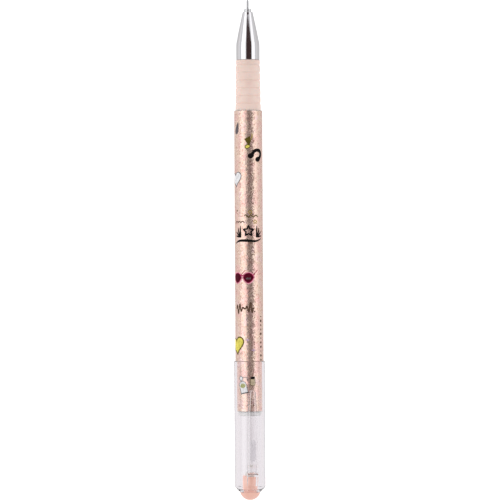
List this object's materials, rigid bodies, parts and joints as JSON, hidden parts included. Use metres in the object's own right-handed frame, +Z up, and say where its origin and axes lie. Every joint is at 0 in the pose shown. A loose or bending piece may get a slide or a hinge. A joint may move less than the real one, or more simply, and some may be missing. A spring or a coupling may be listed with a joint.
{
  "type": "gel pen",
  "caption": "Capped gel pen with a chrome screw-off nose cone, ringed soft grip, glitter film barrel printed with doodles, and a clear clip cap posted on the tail.",
  "frame": {"origin": "on the surface that the pen lies on, under the middle of its length", "axes": "+Y along the pen towards the writing tip, +Z up, the side of the clip, +X to the right when the clip is seen from above with the tip pointing away"},
  "size_m": [0.0104, 0.1682, 0.0126],
  "materials": {
    "clear_barrel": "polished clear plastic",
    "glitter_film": "rose-gold glitter film with printed doodles",
    "peach_grip": "soft satin peach elastomer",
    "clear_plug": "polished clear plastic",
    "chrome_nose": "bright mirror plating",
    "needle_steel": "drawn stainless steel",
    "ball_carbide": "ground carbide",
    "spring_steel": "fine drawn wire",
    "collar_metal": "turned nickel silver",
    "holder_plastic": "natural moulded plastic",
    "ink_tube_plastic": "translucent extruded plastic",
    "gel_ink": "wet black gel",
    "follower_grease": "clear grease",
    "clear_cap": "polished clear plastic",
    "clear_clip": "polished clear plastic",
    "peach_plug": "glossy peach moulding",
    "seal_rubber": "soft pale rubber"
  },
  "bodies": {
    "barrel": {"barrel_tube": "clear_barrel", "barrel_film": "glitter_film", "grip_sleeve": "peach_grip", "tail_plug": "clear_plug"},
    "refill": {"needle_tube": "needle_steel", "ball_spring": "spring_steel", "needle_collar": "collar_metal", "tip_holder": "holder_plastic", "ink_tube": "ink_tube_plastic", "ink_column": "gel_ink", "ink_follower": "follower_grease"},
    "ball": {"writing_ball": "ball_carbide"},
    "nose": {"nose_cone": "chrome_nose"},
    "cap_end": {"cap_end_plug": "peach_plug", "tip_seal": "seal_rubber"},
    "cap": {"cap_shell": "clear_cap"},
    "clip": {"cap_clip": "clear_clip"}
  },
  "joints": [
    {"name": "refill_withdraw", "type": "slide", "parent": "barrel", "child": "refill", "axis": [0, 1, 0], "range_m": [0, 0.116]},
    {"name": "nose_unscrew", "type": "hinge", "parent": "refill", "child": "nose", "pos_m": [0, 0.0719, 0.00515], "axis": [0, 1, 0], "range_deg": [0, 1800]},
    {"name": "ball_roll", "type": "hinge", "parent": "refill", "child": "ball", "pos_m": [0, 0.08385, 0.00515], "axis": [1, 0, 0], "continuous": true},
    {"name": "cap_pull", "type": "slide", "parent": "barrel", "child": "cap_end", "axis": [0, -1, 0], "range_m": [0, 0.022]},
    {"name": "cap_turn", "type": "hinge", "parent": "cap_end", "child": "cap", "pos_m": [0, -0.0811, 0.00515], "axis": [0, 1, 0], "continuous": true},
    {"name": "clip_flex", "type": "hinge", "parent": "cap", "child": "clip", "pos_m": [0.0009, -0.0745, 0.01154], "axis": [0.9903, 0, -0.1392], "range_deg": [0, 6], "stiffness_Nm_per_rad": 1}
  ]
}
